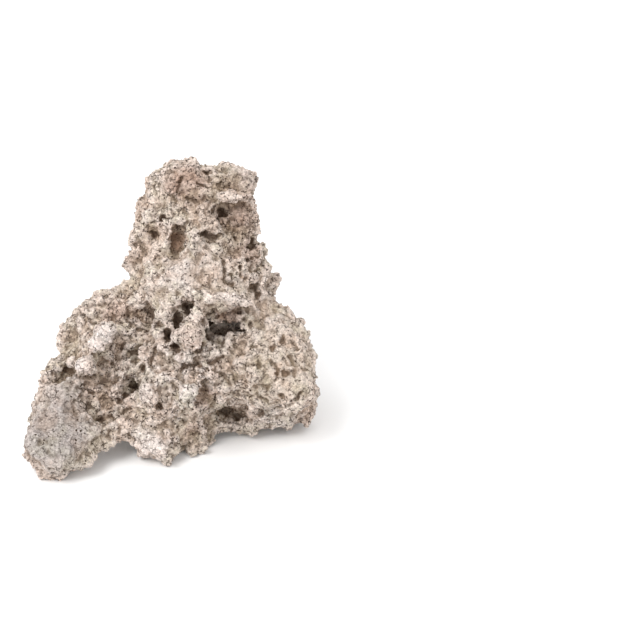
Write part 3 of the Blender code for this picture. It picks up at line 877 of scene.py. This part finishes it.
class StoneShape(bpy.types.PropertyGroup):
    """Sizes of the crust."""

    net: bpy.props.FloatProperty(
        name="Net", description="Width of the net in which the skin is worked",
        default=0.75 * MM, subtype="DISTANCE", unit="LENGTH", precision=5)
    inset: bpy.props.FloatProperty(
        name="Inset", description="How far the skin is drawn in to leave room for the crumbs",
        default=0.1 * MM, subtype="DISTANCE", unit="LENGTH", precision=5)
    lump_width: bpy.props.FloatProperty(
        name="Lump width", description="Width of the small lumps of the crust",
        default=6.0 * MM, subtype="DISTANCE", unit="LENGTH", precision=5)
    lump_rise: bpy.props.FloatProperty(
        name="Lump rise", description="How far the small lumps stand out",
        default=2.1 * MM, subtype="DISTANCE", unit="LENGTH", precision=5)
    knob_width: bpy.props.FloatProperty(
        name="Knob width", description="Width of the smallest lumps of the crust",
        default=3.2 * MM, subtype="DISTANCE", unit="LENGTH", precision=5)
    knob_rise: bpy.props.FloatProperty(
        name="Knob rise", description="How far the smallest lumps stand out",
        default=1.1 * MM, subtype="DISTANCE", unit="LENGTH", precision=5)
    crevice_spacing: bpy.props.FloatProperty(
        name="Crevice spacing", description="About how far apart the crevices run",
        default=6.5 * MM, subtype="DISTANCE", unit="LENGTH", precision=5)
    crevice_depth: bpy.props.FloatProperty(
        name="Crevice depth", description="How deep the crevices are",
        default=1.8 * MM, subtype="DISTANCE", unit="LENGTH", precision=5)
    pit_spacing: bpy.props.FloatProperty(
        name="Pit spacing", description="About how far apart the small pits are",
        default=3.6 * MM, subtype="DISTANCE", unit="LENGTH", precision=5)
    pit_depth: bpy.props.FloatProperty(
        name="Pit depth", description="How deep the small pits are",
        default=1.8 * MM, subtype="DISTANCE", unit="LENGTH", precision=5)
    fine_net: bpy.props.FloatProperty(
        name="Fine net", description="Width of the net in which crumbs are fused to the skin",
        default=0.5 * MM, subtype="DISTANCE", unit="LENGTH", precision=5)
    triangles: bpy.props.IntProperty(
        name="Triangles", description="About how many triangles the skin has",
        default=197000, min=1000)


class StoneColours(bpy.types.PropertyGroup):
    """Colours of the stone, as sRGB hex values."""

    stone: bpy.props.StringProperty(
        name="Stone", description="Fresh crust, between grey and tan", default="#ddd2c7")
    ash: bpy.props.StringProperty(
        name="Ash", description="Rubbed grey stone of the left foot", default="#b0aaa5")
    chalk: bpy.props.StringProperty(
        name="Chalk", description="Pale worn stone", default="#e2ddd9")
    rust: bpy.props.StringProperty(
        name="Rust", description="Reddish brown stains", default="#ad9382")
    sand: bpy.props.StringProperty(
        name="Sand", description="Warm tan of the right lobe", default="#cec2b3")
    # Partly dirt and partly painted shade in the hollows, and the painted shade under the cave's roof.
    hollow: bpy.props.StringProperty(
        name="Hollow", description="Dark brown in the hollows", default="#7c6350")
    # Painted shade inside the pinholes, fine crevices and creases.
    hole: bpy.props.StringProperty(
        name="Hole", description="Inside of the pinholes", default="#3b2a1e")


class StageLook(bpy.types.PropertyGroup):
    """Floor and light."""

    floor_width: bpy.props.FloatProperty(
        name="Floor width", description="Length of the floor's sides",
        default=12.0, subtype="DISTANCE", unit="LENGTH")
    floor_grey: bpy.props.FloatProperty(
        name="Floor grey", description="How pale the floor is", default=0.93, min=0, max=1)
    sky: bpy.props.FloatProperty(
        name="Sky", description="Strength of the light from all round", default=1.17, min=0)
    key: bpy.props.FloatProperty(
        name="Key", description="Strength of the soft lamp at the upper left",
        default=4.9, min=0, unit="POWER")
    lamp_size: bpy.props.FloatProperty(
        name="Lamp size", description="Width of the soft lamp",
        default=0.5, subtype="DISTANCE", unit="LENGTH")


class LAVAROCK_OT_stage(bpy.types.Operator):
    """Makes the floor, the soft light and the camera"""

    bl_idname = "lavarock.stage"
    bl_label = "Stage"

    def execute(self, context):
        look = context.scene.lavarock_stage
        mesh = bmesh.new()
        bmesh.ops.create_grid(mesh, x_segments=1, y_segments=1, size=look.floor_width / 2)
        data = bpy.data.meshes.new("floor")
        mesh.to_mesh(data)
        mesh.free()
        floor = bpy.data.objects.new("floor", data)
        context.scene.collection.objects.link(floor)
        data.materials.append(plain_paint("floor_paint", (look.floor_grey,) * 3))

        sky = bpy.data.worlds.new("sky")
        sky.use_nodes = True
        glow = sky.node_tree.nodes["Background"]
        glow.inputs["Color"].default_value = (1, 1, 1, 1)
        glow.inputs["Strength"].default_value = look.sky
        context.scene.world = sky

        lamp = bpy.data.lights.new("key", "AREA")
        lamp.shape = "DISK"
        lamp.size = look.lamp_size
        lamp.energy = look.key
        key = bpy.data.objects.new("key", lamp)
        context.scene.collection.objects.link(key)
        key.location = LAMP_PLACE
        key.rotation_euler = (LAMP_AIM - key.location).to_track_quat("-Z", "Y").to_euler()

        lens = bpy.data.cameras.new("eye")
        lens.lens = LENS
        lens.sensor_width = SENSOR
        eye = bpy.data.objects.new("eye", lens)
        context.scene.collection.objects.link(eye)
        eye.matrix_world = seen_frame(EYE_ACROSS, 0, EYE_DISTANCE)
        context.scene.camera = eye
        context.scene.view_settings.view_transform = "Standard"
        return {"FINISHED"}


class LAVAROCK_OT_stone(bpy.types.Operator):
    """Grows the stone's fine skin on its solid, with clumps and clots fused to it"""

    bl_idname = "lavarock.stone"
    bl_label = "Stone"

    def execute(self, context):
        shape = context.scene.lavarock_shape
        chosen = context.scene.lavarock_colours
        colours = {name: getattr(chosen, name) for name in
                   ("stone", "ash", "chalk", "rust", "sand", "hollow", "hole")}
        skin = grow_skin(shape)
        scatter(skin, "clumps", CLUMPS, CLUMP_SEED, keep_skin=True)
        scatter(skin, "clots", CLOTS, CLOT_SEED, keep_skin=True)
        fuse(skin, shape.fine_net)
        thin_out(skin, shape.triangles)
        for vert in skin.data.vertices:
            vert.co.z = max(vert.co.z, 0.0)
        skin.data.shade_flat()
        tree = skin_tree(skin)
        mark_skin(skin, tree)
        tint_skin(skin, tree, colours)
        skin.data.materials.clear()
        skin.data.materials.append(crusty_stone(colours))
        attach(skin, "root")
        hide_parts("lava_rock")
        return {"FINISHED"}


class LAVAROCK_OT_crumbs(bpy.types.Operator):
    """Grows the separate crumbs and grains on the stone's skin"""

    bl_idname = "lavarock.crumbs"
    bl_label = "Crumbs and grains"

    def execute(self, context):
        for side, word in ((-1, "left"), (1, "right")):
            grow_crumbs(f"crumbs_{word}", CRUMBS, CRUMB_SEED, side)
            grow_crumbs(f"grains_{word}", GRAINS, GRAIN_SEED, side)
        return {"FINISHED"}


class LAVAROCK_PT_panel(bpy.types.Panel):
    """Lists the stone's sizes and colours, and what makes its pieces"""

    bl_idname = "LAVAROCK_PT_panel"
    bl_label = "Lava rock"
    bl_space_type = "VIEW_3D"
    bl_region_type = "UI"
    bl_category = "Lava rock"

    def draw(self, context):
        for group in (context.scene.lavarock_shape, context.scene.lavarock_colours,
                      context.scene.lavarock_stage):
            box = self.layout.box()
            for name in group.bl_rna.properties.keys():
                if name not in ("rna_type", "name"):
                    box.prop(group, name)
        for operator in (LAVAROCK_OT_stage, LAVAROCK_OT_stone, LAVAROCK_OT_crumbs):
            self.layout.operator(operator.bl_idname)


CLASSES = (StoneShape, StoneColours, StageLook, LAVAROCK_OT_stage, LAVAROCK_OT_stone,
           LAVAROCK_OT_crumbs, LAVAROCK_PT_panel)


def register():
    for made in CLASSES:
        bpy.utils.register_class(made)
    bpy.types.Scene.lavarock_shape = bpy.props.PointerProperty(type=StoneShape)
    bpy.types.Scene.lavarock_colours = bpy.props.PointerProperty(type=StoneColours)
    bpy.types.Scene.lavarock_stage = bpy.props.PointerProperty(type=StageLook)


def unregister():
    del bpy.types.Scene.lavarock_stage
    del bpy.types.Scene.lavarock_colours
    del bpy.types.Scene.lavarock_shape
    for made in reversed(CLASSES):
        bpy.utils.unregister_class(made)


def main():
    register()
    bpy.ops.lavarock.stage()
    bpy.ops.lavarock.stone()
    bpy.ops.lavarock.crumbs()


if __name__ == "__main__":
    main()
